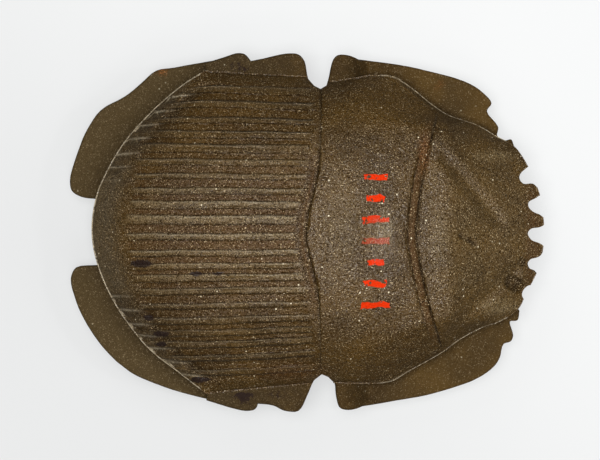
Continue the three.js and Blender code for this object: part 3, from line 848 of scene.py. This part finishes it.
def worn_stone(tree, stone, where, masks, grains):
    """Colour of the clouded stone and of what lies on it, from rubbed crests and painted highlights to soil,
    painted shade and rust.
    """
    # Rubbing and painted highlight follow the ribs in streaks.
    along = vector(tree, "MULTIPLY", where, {1: (0.12, 1.0, 1.0)})
    streaks = ramp(tree, speckle(tree, along, STREAK), 0.38, 0.6, 0.25, 0.95)
    patchy = ramp(tree, grains["middle"], 0.3, 0.6, 0.5, 1.0)
    colour = blend(tree, ramp(tree, grains["clouds"], 0.32, 0.68), rgba(stone.shade), rgba(stone.body))
    # The crest and edge layers paint highlights, and the soil layer paints shade as well as soil.
    for name, share, tone in (
            ("legs", ramp(tree, masks["hind"], 0.0, 1.0, 0.35, 0.95), stone.shelter),
            ("crest", streaks, stone.crest),
            ("earth", patchy, stone.earth),
            ("soil_and_shade", patchy, stone.soil_and_shade),
            ("rust", ramp(tree, grains["grit"], 0.4, 0.62), stone.rust),
            ("edge", ramp(tree, grains["middle"], 0.3, 0.6, 0.35, 0.85), stone.edge)):
        colour = blend(tree, times(tree, masks[name], share), colour, rgba(tone))
    return colour


def mineral_grains(tree, stone, where, masks, grains, colour):
    """Adds dark and pale grains, a few painted glints that stand in for grains catching the light, and
    violet-black specks.
    """
    cells = add(tree, "ShaderNodeTexVoronoi", {"Vector": where, "Scale": 1 / GLINT_SPACING})
    chosen = add(tree, "ShaderNodeSeparateColor", {0: cells.outputs["Color"]}).outputs[0]
    glint = times(tree, ramp(tree, cells.outputs["Distance"], 0.14, 0.08), ramp(tree, chosen, 0.8, 0.85))
    # The sheltered legs show less of the grain.
    plain = ramp(tree, masks["legs"], 0.0, 1.0, 1.0, 0.3)
    for share, tone in (
            (ramp(tree, grains["fine"], 0.5, 0.34, 0.0, 0.95), stone.soil_and_shade),
            (ramp(tree, grains["grit"], 0.575, 0.73, 0.0, 0.95), stone.grain),
            (glint, stone.glint)):
        colour = blend(tree, times(tree, share, plain), colour, rgba(tone))
    spotted = plus(tree, times(tree, masks["speck"], 0.8), plus(tree, grains["middle"], grains["fine"]))
    return blend(tree, ramp(tree, spotted, 1.3, 1.5, 0.0, 0.9), colour, rgba(stone.speck))


def carved_stone(stone):
    """Fine-grained brown-green stone, ground and rubbed smooth.

    It gives the eye a satin skin full of pale and dark grains, greyer on rubbed crests and browner where soil
    stays in the cuts, with painted highlight on crests and rim and painted shade at the tail and by the rim.
    """
    material, tree = blank_material("carved_siltstone")
    where = add(tree, "ShaderNodeTexCoord").outputs["Object"]
    masks = {name: add(tree, "ShaderNodeAttribute", attribute_name=name).outputs["Fac"] for name in
             ("soil_and_shade", "earth", "crest", "edge", "legs", "hind", "speck", "rust", "varnish")}
    grains = {name: speckle(tree, where, size) for name, size in GRAINS.items()}
    painted = brush_strokes(tree, where)
    colour = worn_stone(tree, stone, where, masks, grains)
    colour = mineral_grains(tree, stone, where, masks, grains, colour)
    colour = blend(tree, painted, colour, rgba(stone.paint))
    relief = plus(tree, plus(tree, grains["fine"], times(tree, grains["middle"], 1.5)),
                  times(tree, speckle(tree, where, 0.2 * MM), 1.3))
    bump = add(tree, "ShaderNodeBump", {"Height": relief, "Strength": 1.0, "Distance": 0.06 * MM})
    # The back's top is rubbed to a faint sheen, which its steep sides, the cuts and the sheltered legs lack.
    facing = add(tree, "ShaderNodeNewGeometry").outputs["Normal"]
    steep = ramp(tree, add(tree, "ShaderNodeSeparateXYZ", {0: facing}).outputs["Z"], 0.96, 0.6, 0.0, 0.85)
    dirt_paint_and_shade = most(tree, times(tree, masks["earth"], 0.8), most(tree, masks["soil_and_shade"], painted))
    matt = most(tree, most(tree, steep, masks["legs"]), times(tree, dirt_paint_and_shade, 0.9))
    # The sheen sits on the harder grains, so it breaks up into sparkle.
    polished = times(tree, ramp(tree, grains["fine"], 0.4, 0.58), calculate(tree, "SUBTRACT", 1.0, matt))
    shader = add(tree, "ShaderNodeBsdfPrincipled", {
        "Base Color": colour, "IOR": 1.5, "Normal": bump.outputs[0],
        "Roughness": ramp(tree, polished, 0.0, 1.0, 0.6, 0.24),
        "Specular IOR Level": ramp(tree, polished, 0.0, 1.0, 0.08, 0.75),
        "Coat Weight": times(tree, masks["varnish"], ramp(tree, grains["middle"], 0.35, 0.55, 0.3, 1.0)),
        "Coat Roughness": 0.12, "Coat Normal": bump.outputs[0]})
    add(tree, "ShaderNodeOutputMaterial", {"Surface": shader.outputs[0]})
    return material


def studio_floor(colour):
    """Pale matt card on a light table: its glow nearly even, with a painted gradient, and nearly free of
    shadow.
    """
    material, tree = blank_material("pale_card")
    glow, low_corner, high_corner = 0.76, 0.8, 0.98
    axes = add(tree, "ShaderNodeSeparateXYZ", {0: add(tree, "ShaderNodeTexCoord").outputs["Object"]})
    across = plus(tree, axes.outputs["X"], axes.outputs["Y"])
    # The glow is a painted gradient, dimmer towards -X -Y.
    strength = ramp(tree, across, -LENGTH, LENGTH, low_corner * glow, high_corner * glow)
    # The stone sees less of the card's light than the camera does, as under a shaded lamp.
    seen = add(tree, "ShaderNodeLightPath").outputs["Is Camera Ray"]
    pale, dim = ([channel * (1 - glow) * share for channel in colour] for share in (1.0, 0.5))
    shader = add(tree, "ShaderNodeBsdfPrincipled", {
        "Base Color": blend(tree, seen, rgba(dim), rgba(pale)), "Roughness": 1.0, "Specular IOR Level": 0.0,
        "Emission Color": rgba(colour),
        "Emission Strength": times(tree, strength, ramp(tree, seen, 0.0, 1.0, 0.1, 1.0))})
    add(tree, "ShaderNodeOutputMaterial", {"Surface": shader.outputs[0]})
    return material


# Operators

class SCARAB_OT_carve(bpy.types.Operator):
    """Carve the amulet: back, head, legs, belly and pierced lug in one stone"""
    bl_idname = "scarab.carve"
    bl_label = "Carve Amulet"
    bl_options = {"REGISTER", "UNDO"}

    def execute(self, context):
        scene = context.scene
        back, legs = scene.scarab_back, scene.scarab_legs
        surface = Back(back, legs)
        # The nets are finer at the steep sides, and at the tail.
        stone = draped_block(
            "Scarab", WING_NET,
            lambda t, across: surface.wing(0.75 * across + 0.25 * np.sin(across * math.pi / 2), t ** 1.8),
            surface.underside)
        front = draped_block(
            "shield_and_head", FRONT_NET,
            lambda t, across: surface.front(0.6 * across + 0.4 * np.sin(across * math.pi / 2), t),
            surface.underside)
        join(stone, [front], "UNION")
        cutters = [plate("notch", [place(p) for p in notch], surface.underside - MM, HEIGHT + MM, 0)
                   for notch in WAIST_NOTCHES]
        cutters += [plate("gap", smooth_run(gap, 4), surface.underside - MM, HEIGHT, 0) for gap in TOOTH_GAPS]
        join(stone, cutters, "DIFFERENCE")
        join(stone, self.lower_parts(legs, surface), "UNION")
        lug_hole = cord_hole(legs.hole, (legs.belly_recess + BITE) / 2)
        join(stone, [lug_hole], "DIFFERENCE")
        weather(stone.data)
        paint_masks(stone.data, surface)
        if is_open(stone.data):
            raise RuntimeError("The carved stone isn't one closed solid")
        stone.data.shade_smooth()
        stone.data.set_sharp_from_angle(angle=math.radians(40))
        stone.data.materials.clear()
        stone.data.materials.append(carved_stone(scene.scarab_stone))
        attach(stone, "root")
        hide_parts("scarab")
        return {"FINISHED"}

    def lower_parts(self, legs, surface):
        """Belly, leg plates, thighs and lug, as solids that overlap a little."""
        rim = np.vstack((TAIL_RUN[::6], FRONT_RUN[::-6]))
        radius = np.linalg.norm(rim, axis=1, keepdims=True)
        inner = rim * (radius - legs.undercut_depth) / radius
        parts = [plate("belly", inner, legs.belly_recess, surface.underside + BITE, 0)]
        for name, group, bottom, top, rounding in (
                ("hind_shin", HIND_SHINS, 0, legs.thickness, legs.rounding),
                ("knee", KNEES, THIGH_INSET, surface.rim - KNEE_STEP, legs.rounding),
                ("fore_shin", FORE_SHINS, 0, legs.thickness, legs.tooth_rounding)):
            parts += [plate(name, leg_outline(leg), bottom, top, rounding, PLATE_STEP) for leg in group]
        # The fore knees slope down to the fore shins.
        for knee in (part for part in parts if part.name.startswith("knee")):
            for vertex in knee.data.vertices:
                if vertex.co.z > legs.thickness:
                    fall = float(ease(*FORE_KNEE_SLOPE, vertex.co.x))
                    vertex.co.z = mix(vertex.co.z, legs.thickness - FORE_KNEE_DROP, fall)
        for knee, hip in THIGHS:
            for side in (1, -1):
                outline = thigh_outline(knee, hip, side, THIGH_WIDTH)
                parts.append(
                    plate("thigh", outline, THIGH_INSET, legs.belly_recess + 1 * MM, 0.8 * legs.rounding))
        angles = np.linspace(0, 2 * math.pi, 40, endpoint=False)
        oval = np.stack((LUG_HALF_LENGTH * np.cos(angles), LUG_HALF_WIDTH * np.sin(angles)), axis=1)
        return parts + [plate("lug", oval, 0, legs.belly_recess + 2 * BITE, BITE)]


class SCARAB_OT_stage(bpy.types.Operator):
    """Lay the pale floor, hang the soft light and set the camera straight above"""
    bl_idname = "scarab.stage"
    bl_label = "Set Stage"
    bl_options = {"REGISTER", "UNDO"}

    def execute(self, context):
        scene = context.scene
        if "Scarab" not in scene.objects:
            raise RuntimeError("Carve the amulet before its stage is set")
        settings = scene.scarab_stage
        bm = bmesh.new()
        bmesh.ops.create_grid(bm, x_segments=1, y_segments=1, size=1.0)
        floor = as_object(bm, "floor")
        floor.data.materials.append(studio_floor(settings.floor))
        self.set_camera(scene, settings)
        self.set_lights(scene, settings)
        scene.view_settings.view_transform = "Standard"
        return {"FINISHED"}

    def set_camera(self, scene, settings):
        camera = bpy.data.objects.new("camera", bpy.data.cameras.new("camera"))
        scene.collection.objects.link(camera)
        pixel = settings.view_width / PIXELS_ACROSS
        camera.location = (-PIXELS_RIGHT * pixel, PIXELS_BELOW * pixel, settings.camera_height)
        camera.data.angle = 2 * math.atan(settings.view_width / 2 / (settings.camera_height - RIM_LEVEL))
        camera.data.clip_start, camera.data.clip_end = 0.01, 10
        scene.camera = camera

    def set_lights(self, scene, settings):
        for name, spot_place, size, share in LAMPS:
            lamp = bpy.data.objects.new(name, bpy.data.lights.new(name, "AREA"))
            lamp.data.size = size
            lamp.data.energy = settings.light_power * share
            lamp.location = spot_place
            lamp.rotation_euler = (-Vector(spot_place)).to_track_quat("-Z", "Y").to_euler()
            scene.collection.objects.link(lamp)
        world = bpy.data.worlds.new("white_surround")
        world.use_nodes = True
        background = world.node_tree.nodes["Background"]
        background.inputs["Color"].default_value = (1, 1, 1, 1)
        background.inputs["Strength"].default_value = settings.sky
        scene.world = world


class SCARAB_PT_panel(bpy.types.Panel):
    """Sizes, colours and steps of the scarab amulet"""
    bl_idname = "SCARAB_PT_panel"
    bl_label = "Scarab Amulet"
    bl_space_type = "VIEW_3D"
    bl_region_type = "UI"
    bl_category = "Scarab"

    def draw(self, context):
        layout = self.layout
        for name in SETTINGS:
            settings = getattr(context.scene, name)
            box = layout.box()
            for key in settings.__annotations__:
                box.prop(settings, key)
        layout.operator("scarab.carve")
        layout.operator("scarab.stage")


SETTINGS = {
    "scarab_back": BackSettings,
    "scarab_legs": LegSettings,
    "scarab_stone": StoneSettings,
    "scarab_stage": StageSettings,
}
OPERATORS = (SCARAB_OT_carve, SCARAB_OT_stage)


def register():
    for settings in SETTINGS.values():
        bpy.utils.register_class(settings)
    for name, settings in SETTINGS.items():
        setattr(bpy.types.Scene, name, PointerProperty(type=settings))
    for item in (*OPERATORS, SCARAB_PT_panel):
        bpy.utils.register_class(item)


def unregister():
    for item in (SCARAB_PT_panel, *reversed(OPERATORS)):
        bpy.utils.unregister_class(item)
    for name in reversed(SETTINGS):
        delattr(bpy.types.Scene, name)
    for settings in reversed(list(SETTINGS.values())):
        bpy.utils.unregister_class(settings)


def main():
    register()
    bpy.ops.scarab.carve()
    bpy.ops.scarab.stage()


if __name__ == "__main__":
    main()
